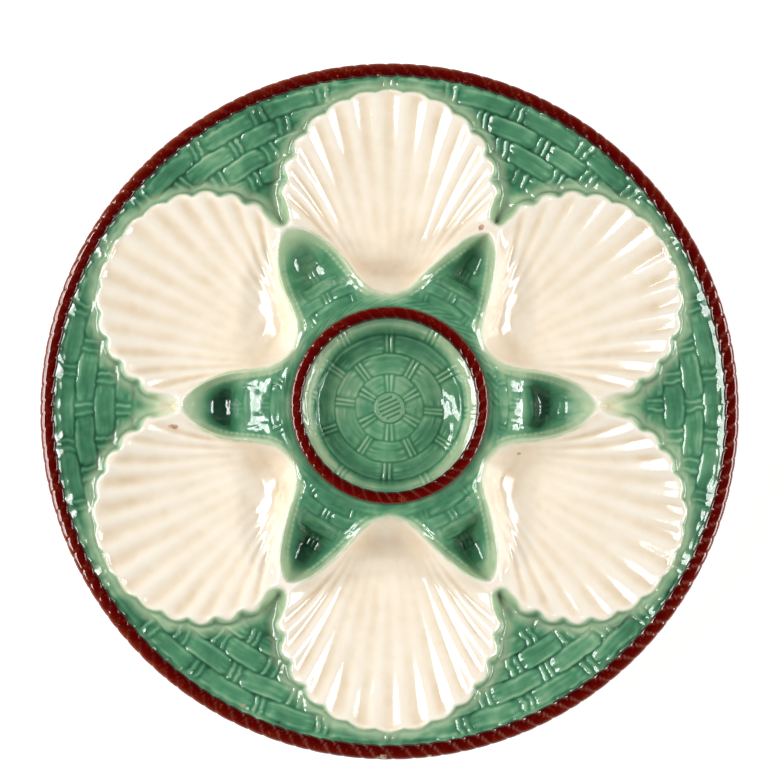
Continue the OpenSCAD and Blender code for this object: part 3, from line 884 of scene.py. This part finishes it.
def rope_mat(name):
    m, nt, b = new_mat(name)
    q = Nodes(nt)
    lay, edge = q.attr("lay"), q.attr("edge")
    n_mid, n_fine = q.noise(350, 3), q.noise(1500, 3, 0.6)
    body = q.ramp(q.math("ADD", q.attr("side"), q.math("MULTIPLY", q.math("SUBTRACT", n_mid, 0.5), 0.35)),
                  [(0.0, srgb(56, 1, 0)), (0.25, srgb(77, 1, 0)), (0.6, srgb(88, 2, 0)), (1.0, srgb(98, 7, 1))])
    base = q.mix(q.mapr(lay, 0.0, 1.0, 0.78, 0.0, smooth=False), body, srgb(146, 88, 72))
    brk = q.mapr(q.math("ADD", n_fine, q.math("MULTIPLY", edge, 0.10)), 0.52, 0.68, 0, 0.80)
    base = q.mix(q.math("MULTIPLY", brk, q.mapr(q.math("ADD", n_mid, q.math("MULTIPLY", edge, 0.25)), 0.50, 0.72)), base, srgb(158, 74, 40))
    run = q.math("MULTIPLY", edge, q.mapr(n_fine, 0.30, 0.60, 0.55, 1.0))
    base = q.mix(run, base, srgb(138, 54, 28))
    base = q.mix(q.attr("chip"), base, q.mix(q.mapr(n_fine, 0.35, 0.65), srgb(206, 186, 158), srgb(112, 84, 58)))
    q.link(base, b.inputs["Base Color"])
    b.inputs["Roughness"].default_value = 0.4
    b.inputs["Specular IOR Level"].default_value = 0.0
    b.inputs["Coat Weight"].default_value = 1.0
    b.inputs["Coat IOR"].default_value = 1.68
    b.inputs["Coat Roughness"].default_value = 0.04
    nrm = q.bump(n_mid, 0.2, 0.00015)
    q.link(nrm, b.inputs["Normal"])
    q.link(nrm, b.inputs["Coat Normal"])
    return m


def foot_mat(name):
    m, nt, b = new_mat(name)
    q = Nodes(nt)
    bare = q.attr("bare")
    n_big, n_fine = q.noise(80, 3), q.noise(1200, 4, 0.7)
    glz = q.mix(q.mapr(n_big, 0.4, 0.65), srgb(238, 226, 202), srgb(226, 214, 184))
    clay = q.mix(q.mapr(n_fine, 0.35, 0.65), srgb(226, 196, 164), srgb(206, 170, 136))
    q.link(q.mix(bare, glz, clay), b.inputs["Base Color"])
    rough = q.mapr(bare, 0, 1, 0.18, 0.75)
    q.link(rough, b.inputs["Roughness"])
    nrm = q.bump(n_fine, 0.3, 0.0002)
    q.link(nrm, b.inputs["Normal"])
    return m


m_border, m_inner, m_dip = glazed("green_glaze_border"), glazed("green_glaze_inner"), glazed("green_glaze_dip")
m_shell, m_boss = glazed("cream_glaze_shell"), glazed("green_glaze_boss")
m_rope, m_foot = rope_mat("maroon_glaze_rope"), foot_mat("foot_glaze")

# ------------------------------------------------------------------ pieces of the plate
pieces = {}

# shells: one triangulated plan, turned six times
lo, hi = outline.min(0), outline.max(0)


def far_from(P, pts, d):
    """The points further than d from the loop P."""
    key = set()
    c = d
    cells = {}
    for x, y in P:
        cells.setdefault((int(x // c), int(y // c)), []).append((x, y))
    ok = np.ones(len(pts), bool)
    ij = np.floor(pts / c).astype(int)
    occupied = {(a + i, b + j) for (a, b) in cells for i in (-1, 0, 1) for j in (-1, 0, 1)}
    cand = np.array([(i, j) in occupied for i, j in ij.tolist()])
    idx = np.where(cand)[0]
    for lo_ in range(0, len(idx), 4000):
        k = idx[lo_:lo_ + 4000]
        dd = np.hypot(pts[k, None, 0] - P[:, 0], pts[k, None, 1] - P[:, 1]).min(1)
        ok[k] = dd > d
    return ok


def in_shell(x, y):
    return inside(outline, x, y, (75.0, 0.0))


shell_pts = hexgrid(lo[0] - 1, hi[0] + 1, lo[1] - 1, hi[1] + 1, 0.345)
shell_pts = shell_pts[in_shell(*shell_pts.T)]
shell_pts = shell_pts[far_from(outline, shell_pts, 0.2)]
shell_low = hexgrid(lo[0] - 1, hi[0] + 1, lo[1] - 1, hi[1] + 1, 1.5)
shell_low = shell_low[in_shell(*shell_low.T)]
shell_low = shell_low[far_from(outline, shell_low, 0.9)]
St = triangulate([outline], shell_pts, in_shell)
Sb = triangulate([outline], shell_low, in_shell)


def shell(n):
    deg = 30 + 60 * (n - 1)
    return slab_from(f"shell_{n}", [outline], St, Sb, deg, m_shell)


def slab_from(name, loops, St, Sb, deg, mat):
    (Vt0, Ft), (Vb0, Fb) = St, Sb
    Vt, Vb = turn(Vt0, deg), turn(Vb0, deg)
    zt, zb = sample(H, *Vt.T), sample(Bz, *Vb.T)
    nt = np.stack([-sample(GX, *Vt.T), -sample(GY, *Vt.T), np.ones(len(Vt))], 1)
    nb = np.stack([sample(BX, *Vb.T), sample(BY, *Vb.T), -np.ones(len(Vb))], 1)
    V = np.concatenate([np.column_stack([Vt, zt]), np.column_stack([Vb, zb])])
    off = len(Vt)
    walls, o = [], 0
    for L in loops:
        ids = np.arange(len(L)) + o
        walls.append(ring_walls(ids + off, ids))
        o += len(L)
    walls = np.concatenate(walls)
    F = [Ft, Fb[:, ::-1] + off, walls]
    at = top_attrs(*Vt.T)
    nlow = len(Vb)
    attrs = {k: np.concatenate([v, np.full(nlow, 0.0)]) for k, v in at.items()}
    attrs["under"] = np.concatenate([np.zeros(off), np.ones(nlow)])
    lo, hi = Vt0.min(0), Vt0.max(0)
    uvt = (np.concatenate([Vt0, Vb0]) - lo) / (hi - lo)
    top_uv = uvt[Ft.ravel()] * [0.74, 0.98] + [0.005, 0.01]
    low_uv = uvt[F[1].ravel()] * [0.24, 0.48] + [0.755, 0.01]
    wn = len(walls)
    wu = np.repeat(np.arange(wn) / wn, 4).reshape(-1, 4)
    wu[:, 1] += 1 / wn
    wu[:, 2] += 1 / wn
    wv = np.tile([0.0, 0.0, 1.0, 1.0], (wn, 1))
    wall_uv = np.stack([wu.ravel() * 0.24 + 0.755, wv.ravel() * 0.05 + 0.52], 1)
    return make_mesh(name, V, F, np.concatenate([nt, nb]), attrs, np.concatenate([top_uv, low_uv, wall_uv]), mat)


for n in range(1, 7):
    pieces[f"shell_{n}"] = (shell(n), [f"shell_well_{n}"], "cream_glaze")


def circle(r, n):
    t = np.arange(n) * 2 * PI / n
    return np.stack([r * np.cos(t), r * np.sin(t)], 1)


# loops that the border and the inner ground share with the shells, point for point
lips_loop = np.concatenate([
    turn(np.concatenate([(lip_half * FL)[::-1], lip_half[1:]]), 30 + 60 * m)[:-1] for m in range(6)])
star_half = np.concatenate([side_half, hinge_half[::-1][1:]])
star_loop = np.concatenate([
    turn(np.concatenate([star_half * FL, star_half[::-1][1:]]), 30 + 60 * m)[:-1] for m in range(6)])


def in_lips(x, y):
    return inside(lips_loop, x, y)


def in_star(x, y):
    return inside(star_loop, x, y)


edge_loop = circle(EDGE_R, 2000)
bp = hexgrid(-119, 119, -119, 119, 0.425)
rr = np.hypot(*bp.T)
bp = bp[(rr > 74) & (rr < EDGE_R - 0.25)]
bp = bp[~in_lips(*bp.T)]
bp = bp[far_from(lips_loop, bp, 0.24)]
bl = hexgrid(-119, 119, -119, 119, 2.0)
rr = np.hypot(*bl.T)
bl = bl[(rr > 74) & (rr < EDGE_R - 1.2)]
bl = bl[~in_lips(*bl.T)]
bl = bl[far_from(lips_loop, bl, 1.1)]


def in_border(x, y):
    return (np.hypot(x, y) < EDGE_R) & ~in_lips(x, y)


bt = triangulate([edge_loop, lips_loop], bp, in_border)
bb = triangulate([edge_loop, lips_loop], bl, in_border)


def ring_piece(name, outer, inner, St, Sb, mat):
    (Vt, Ft), (Vb, Fb) = St, Sb
    zt, zb = sample(H, *Vt.T), sample(Bz, *Vb.T)
    nt = np.stack([-sample(GX, *Vt.T), -sample(GY, *Vt.T), np.ones(len(Vt))], 1)
    nb = np.stack([sample(BX, *Vb.T), sample(BY, *Vb.T), -np.ones(len(Vb))], 1)
    V = np.concatenate([np.column_stack([Vt, zt]), np.column_stack([Vb, zb])])
    off, no, ni = len(Vt), len(outer), len(inner)
    oid, iid = np.arange(no), np.arange(ni) + no
    walls = np.concatenate([ring_walls(oid + off, oid), ring_walls(iid + off, iid)[:, ::-1]])
    F = [Ft, Fb[:, ::-1] + off, walls]
    at = top_attrs(*Vt.T)
    nlow = len(Vb)
    attrs = {k: np.concatenate([v, np.full(nlow, 0.0)]) for k, v in at.items()}
    attrs["under"] = np.concatenate([np.zeros(off), np.ones(nlow)])
    lo, hi = Vt.min(0), Vt.max(0)
    uvt = (V[:, :2] - lo) / (hi - lo)
    top_uv = uvt[Ft.ravel()] * [0.74, 0.98] + [0.005, 0.01]
    low_uv = uvt[F[1].ravel()] * [0.24, 0.48] + [0.755, 0.01]
    wn = len(walls)
    wu = np.repeat(np.arange(wn) / wn, 4).reshape(-1, 4)
    wu[:, 1] += 1 / wn
    wu[:, 2] += 1 / wn
    wv = np.tile([0.0, 0.0, 1.0, 1.0], (wn, 1))
    wall_uv = np.stack([wu.ravel() * 0.24 + 0.755, wv.ravel() * 0.05 + 0.52], 1)
    return make_mesh(name, V, F, np.concatenate([nt, nb]), attrs, np.concatenate([top_uv, low_uv, wall_uv]), mat)


pieces["border"] = (ring_piece("border_ground", edge_loop, lips_loop, bt, bb, m_border), ["border_basketwork"], "green_glaze")

IN_R = 36.3
in_loop = circle(IN_R, 700)
ip = hexgrid(-75, 75, -75, 75, 0.275)
ip = ip[(np.hypot(*ip.T) > IN_R + 0.16) & (np.hypot(*ip.T) < 74)]
ip = ip[in_star(*ip.T)]
ip = ip[far_from(star_loop, ip, 0.16)]
il = hexgrid(-75, 75, -75, 75, 1.5)
il = il[(np.hypot(*il.T) > IN_R + 0.8) & (np.hypot(*il.T) < 74)]
il = il[in_star(*il.T)]
il = il[far_from(star_loop, il, 0.8)]


def in_inner(x, y):
    return (np.hypot(x, y) > IN_R) & in_star(x, y)


it = triangulate([star_loop, in_loop], ip, in_inner)
ib = triangulate([star_loop, in_loop], il, in_inner)
pieces["inner"] = (ring_piece("inner_ground", star_loop, in_loop, it, ib, m_inner), ["inner_basketwork"], "green_glaze")

dp = hexgrid(-37, 37, -37, 37, 0.27)
dp = dp[np.hypot(*dp.T) < IN_R - 0.16]
dl = hexgrid(-37, 37, -37, 37, 1.5)
dl = dl[np.hypot(*dl.T) < IN_R - 0.8]


def in_dip(x, y):
    return np.hypot(x, y) < IN_R


pieces["dip"] = (slab_from("dip_well_ground", [in_loop], triangulate([in_loop], dp, in_dip), triangulate([in_loop], dl, in_dip), 0, m_dip),
                 ["dip_well"], "green_glaze")


# ------------------------------------------------------------------ ropes
def rope(name, r_mid, z_mid, a_in, a_out, b, strands, lean, joints, cols, rows, seed, mat, outer_edge, powers=(0.42, 0.60), drop=0.0, stripe=1.0):
    """A flattened twisted rope. joints = how deep the joints between strands cut the inner shoulder, the top and the outer shoulder."""
    th = np.arange(cols) * 2 * PI / cols
    ph = np.arange(rows) * 2 * PI / rows
    T, P = np.meshgrid(th, ph, indexing="ij")
    deg = np.degrees(T)
    c, s_ = np.cos(P), np.sin(P)
    power = np.where(c < 0, powers[0], powers[1])
    cx = np.sign(c) * np.abs(c) ** power
    # strands are not all equally wide
    k = np.arange(strands + 1)
    cut_at = k * 360 / strands + np.where((k > 0) & (k < strands), 0.34 * (_hash(k, k * 0 + 3, seed) - 0.5) * 360 / strands, 0.0)
    d = (deg - lean * (cx + 1) * 0.5) % 360
    idx = np.clip(np.searchsorted(cut_at, d, side="right") - 1, 0, strands - 1)
    f = (d - cut_at[idx]) / (cut_at[idx + 1] - cut_at[idx])
    size = 0.75 + 0.5 * _hash(idx, idx * 0 + 5, seed)
    dv = np.minimum(f, 1 - f)
    lay = sstep(0.01, 0.13, dv)
    lobe = np.sin(PI * f) ** 0.6
    up = s_ > -0.3
    cut = (joints[0] * sstep(-0.35, -0.85, cx) * up * (1 - lobe) + joints[1] * (1 - sstep(0.0, 0.14, dv))
           + joints[2] * sstep(0.35, 0.85, cx) * up * (1 - lobe)) * size
    a = np.where(c < 0, a_in, a_out)
    rad = (1 - cut / min(a_in, b)) * (1 - 0.008 * _hash(idx, idx * 0 + 7, seed))
    x = r_mid + a * rad * cx
    z = z_mid + b * rad * np.sign(s_) * np.abs(s_) ** power * (1 - drop * sstep(-0.15, -1.0, cx))
    V = np.stack([x * np.cos(T), x * np.sin(T), z], -1).reshape(-1, 3)
    i = np.arange(cols)[:, None] * rows
    j = np.arange(rows)[None, :]
    i2, j2 = (np.arange(cols)[:, None] + 1) % cols * rows, (j + 1) % rows
    F = np.stack([i + j, i2 + j, i2 + j2, i + j2], -1).reshape(-1, 4)
    # bake map: the long strip is cut into lines that lie above each other
    K = 10
    ct = np.arange(cols)[:, None] + np.array([0, 1, 1, 0])[None, :]
    line = (np.arange(cols) * K // cols)[:, None]
    uu = ct * K / cols - line
    uu = np.broadcast_to(uu[:, None, :], (cols, rows, 4))
    vv = (np.arange(rows)[:, None] + np.array([0, 0, 1, 1])[None, :]) / rows
    vv = (line[:, :, None] + 0.02 + 0.96 * np.broadcast_to(vv[None], (cols, rows, 4))) / K
    uv = np.stack([0.002 + 0.996 * uu, vv], -1).reshape(-1, 2)
    # across the rope, 0 at its inner side .. 1 at its outer side; the glaze has run off the outer side, most on the left
    across = np.clip((x - (r_mid - a_in)) / (a_in + a_out), 0, 1)
    worn = 0.35 + 0.65 * sstep(-0.35, 0.75, -np.cos(T + 0.35))
    edge = outer_edge * worn * sstep(0.45, 1.0, across + 0.10 * vnoise(deg * 0.9, P * 2, seed + 5))
    edge = np.maximum(edge, outer_edge * sstep(0.84, 0.95, across))
    show = stripe * (0.22 + 0.78 * sstep(0.0, 0.8, np.cos(T + 0.75))) * (0.55 + 0.45 * _hash(idx, idx * 0 + 9, seed)) * sstep(1.0, 0.3, np.abs(across - 0.45) * 1.6)
    attrs = dict(lay=(1 - (1 - lay) * show).ravel(), edge=np.clip(edge, 0, 1).ravel(), side=across.ravel(),
                 chip=chips((x * np.cos(T)).ravel(), (x * np.sin(T)).ravel()) * sstep(z_mid - 0.4, z_mid + 0.6, z.ravel()))
    return make_mesh(name, V, [F], None, attrs, uv, mat)


pieces["rim_rope"] = (rope("rim_rope_piece", 119.15, 25.93, 1.95, 3.30, 3.05, STRANDS, 2.15, (0.30, 0.05, 0.09), 2412, 40, 11, m_rope, 0.85, (0.30, 0.60), 0.05), ["rim_rope"], "maroon_glaze")
pieces["dip_rope"] = (rope("dip_rope_piece", 32.68, 24.28, 2.10, 2.22, 1.98, 47, 5.0, (0.20, 0.05, 0.10), 1410, 36, 12, m_rope, 0.10, (0.5, 0.5), 0.0, 0.5), ["dip_well_rope"], "maroon_glaze")


# ------------------------------------------------------------------ boss
def boss():
    R0 = 5.85
    base = 11.5

    def hz(x, y):
        r = np.hypot(x, y)
        ca, sa = math.cos(math.radians(25)), math.sin(math.radians(25))
        p, q = x * ca + y * sa, -x * sa + y * ca
        z = 12.72 + 0.10 * (1 - (r / R0) ** 2) - 0.75 * sstep(R0 - 0.75, R0 + 0.05, r) ** 1.3
        g = 0.0
        for i in range(5):
            c = (i - 2) * 1.62
            half = math.sqrt(max(0.1, 4.45**2 - c * c)) - 0.35
            g = np.maximum(g, bell(q - c, 0.52) * sstep(half + 0.35, half - 0.35, np.abs(p)))
        return z - 0.55 * g

    loop = circle(R0, 240)
    pts = hexgrid(-6, 6, -6, 6, 0.15)
    pts = pts[np.hypot(*pts.T) < R0 - 0.1]
    inb = lambda x, y: np.hypot(x, y) < R0
    V, F = triangulate([loop], pts, inb)
    z = hz(*V.T)
    e = 1e-2
    gx, gy = (hz(V[:, 0] + e, V[:, 1]) - hz(V[:, 0] - e, V[:, 1])) / (2 * e), (hz(V[:, 0], V[:, 1] + e) - hz(V[:, 0], V[:, 1] - e)) / (2 * e)
    n = 240
    low = np.column_stack([loop * 1.02, np.full(n, base)])
    Vall = np.concatenate([np.column_stack([V, z]), low, [[0, 0, base]]])
    off = len(V)
    ids = np.arange(n)
    walls = ring_walls(ids + off, ids)
    cap = np.stack([np.full(n, off + n), (ids + 1) % n + off, ids + off], 1)
    nt = np.stack([-gx, -gy, np.ones(len(V))], 1)
    nrm = np.concatenate([nt, np.column_stack([loop / R0, np.zeros(n)]), [[0, 0, -1]]])
    depth = np.concatenate([np.clip((12.82 - z) / 0.6, 0, 1), np.full(n + 1, 0.6)])
    attrs = dict(green=np.full(len(Vall), 0.93), pool_and_shade=0.33 + 0.45 * depth, chip=np.zeros(len(Vall)), under=np.zeros(len(Vall)))
    uvp = (Vall[:, :2] / (R0 * 1.05) + 1) / 2
    top_uv = uvp[F.ravel()] * [0.74, 0.98] + [0.005, 0.01]
    cap_uv = uvp[cap.ravel()] * [0.24, 0.48] + [0.755, 0.01]
    wu = np.repeat(ids / n, 4).reshape(-1, 4)
    wu[:, 1] += 1 / n
    wu[:, 2] += 1 / n
    wv = np.tile([0.0, 0.0, 1.0, 1.0], (n, 1))
    wall_uv = np.stack([wu.ravel() * 0.24 + 0.755, wv.ravel() * 0.2 + 0.52], 1)
    return make_mesh("dip_boss_piece", Vall, [F, walls, cap], nrm, attrs, np.concatenate([top_uv, wall_uv, cap_uv]), m_boss)


pieces["boss"] = (boss(), ["dip_well_boss"], "green_glaze")


# ------------------------------------------------------------------ foot ring
def foot():
    prof = np.array([[51.9, 0.12], [52.4, 0.0], [54.5, 0.0], [54.95, 0.12], [55.2, 0.45], [55.6, 1.2], [56.2, 3.2], [56.7, 5.4], [57.4, 6.15], [58.2, 6.5],
                     [48.8, 6.5], [49.6, 6.15], [50.3, 5.4], [50.8, 3.2], [51.2, 1.2], [51.55, 0.45]])
    cols = 720
    th = np.arange(cols) * 2 * PI / cols
    n = len(prof)
    T = np.repeat(th[:, None], n, 1)
    r = prof[None, :, 0] + 0.06 * vnoise(np.degrees(T) / 9.0, np.arange(n)[None, :] * 0.3 + T * 0, 201) * np.sin(T / 2) ** 2
    z = np.repeat(prof[None, :, 1], cols, 0)
    V = np.stack([r * np.cos(T), r * np.sin(T), z], -1).reshape(-1, 3)
    i, j = np.arange(cols)[:, None] * n, np.arange(n)[None, :]
    i2, j2 = (np.arange(cols)[:, None] + 1) % cols * n, (j + 1) % n
    F = np.stack([i + j, i2 + j, i2 + j2, i + j2], -1).reshape(-1, 4)[:, ::1]
    bare = np.repeat((z < 0.5).astype(float)[None], 1, 0).ravel()
    K = 4
    ct = np.arange(cols)[:, None] + np.array([0, 1, 1, 0])[None, :]
    line = (np.arange(cols) * K // cols)[:, None]
    uu = np.broadcast_to((ct * K / cols - line)[:, None, :], (cols, n, 4))
    vv = (np.arange(n)[:, None] + np.array([0, 0, 1, 1])[None, :]) / n
    vv = (line[:, :, None] + 0.02 + 0.96 * np.broadcast_to(vv[None], (cols, n, 4))) / K
    uv = np.stack([0.002 + 0.996 * uu, vv], -1).reshape(-1, 2)
    return make_mesh("foot_ring_piece", V, [F], None, dict(bare=bare), uv, m_foot)


pieces["foot"] = (foot(), ["foot_ring"], "foot_glaze")

for piece, nodes, slot in pieces.values():
    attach(piece, "root")
    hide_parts(*nodes)

# ------------------------------------------------------------------ floor, light and camera
bpy.ops.mesh.primitive_plane_add(size=6, location=(0, 0, 0))
floor = bpy.context.object
floor.name = "floor"
fm, fnt, fb = new_mat("floor_paper")
fb.inputs["Base Color"].default_value = (0.95, 0.95, 0.95, 1)
fb.inputs["Emission Color"].default_value = (1, 1, 1, 1)
fb.inputs["Emission Strength"].default_value = 0.38
fb.inputs["Roughness"].default_value = 0.9
fb.inputs["Specular IOR Level"].default_value = 0.1
floor.data.materials.append(fm)

sc = bpy.context.scene
w = bpy.data.worlds.new("studio")
sc.world = w
w.use_nodes = True
wn = Nodes(w.node_tree)
bg = w.node_tree.nodes["Background"]
gen = wn.add("ShaderNodeTexCoord").outputs["Generated"]
sepw = wn.add("ShaderNodeSeparateXYZ")
wn.link(gen, sepw.inputs[0])
wn.link(wn.ramp(wn.mapr(sepw.outputs["Z"], -0.1, 1.0, 0, 1, smooth=False), [(0.0, (0.55, 0.55, 0.55)), (0.30, (0.45, 0.45, 0.45)), (0.48, (0.22, 0.22, 0.22)), (0.64, (0.035, 0.035, 0.035)), (1.0, (0.012, 0.012, 0.012))]), bg.inputs[0])
bg.inputs[1].default_value = 1.0


def softbox(name, loc, size_x, size_y, power, target=(0, 0, 0.015)):
    d = bpy.data.lights.new(name, "AREA")
    d.shape = "RECTANGLE"
    d.size, d.size_y, d.energy = size_x, size_y, power
    o = bpy.data.objects.new(name, d)
    o.location = loc
    o.rotation_euler = (Vector(target) - Vector(loc)).to_track_quat("-Z", "Y").to_euler()
    sc.collection.objects.link(o)
    return o


softbox("softbox_left_low", (-0.87, 0.07, 0.55), 0.75, 0.07, 2.9)
softbox("softbox_left_high", (-0.60, 0.07, 0.84), 0.75, 0.07, 2.8)
softbox("softbox_left_panel", (-0.76, 0.07, 0.72), 0.72, 0.30, 4.8)
softbox("softbox_right_low", (0.90, 0.0, 0.53), 0.75, 0.13, 5.3)
softbox("softbox_right_panel", (0.80, 0.0, 0.68), 0.72, 0.16, 2.5)

cam_d = bpy.data.cameras.new("camera")
cam_d.sensor_fit = "HORIZONTAL"
cam_d.sensor_width = 36
cam_d.lens = 1447 / 780 * 36
cam_d.shift_x = 0.5 / 780
cam_d.shift_y = 13.6 / 780
cam_d.clip_start, cam_d.clip_end = 0.01, 20
cam = bpy.data.objects.new("camera", cam_d)
tilt = math.radians(4.89)
cam.location = (0, -0.506 * math.sin(tilt), 0.028 + 0.506 * math.cos(tilt))
cam.rotation_euler = (tilt, 0, 0)
sc.collection.objects.link(cam)
sc.camera = cam
sc.view_settings.view_transform = "Standard"
sc.view_settings.look = "None"
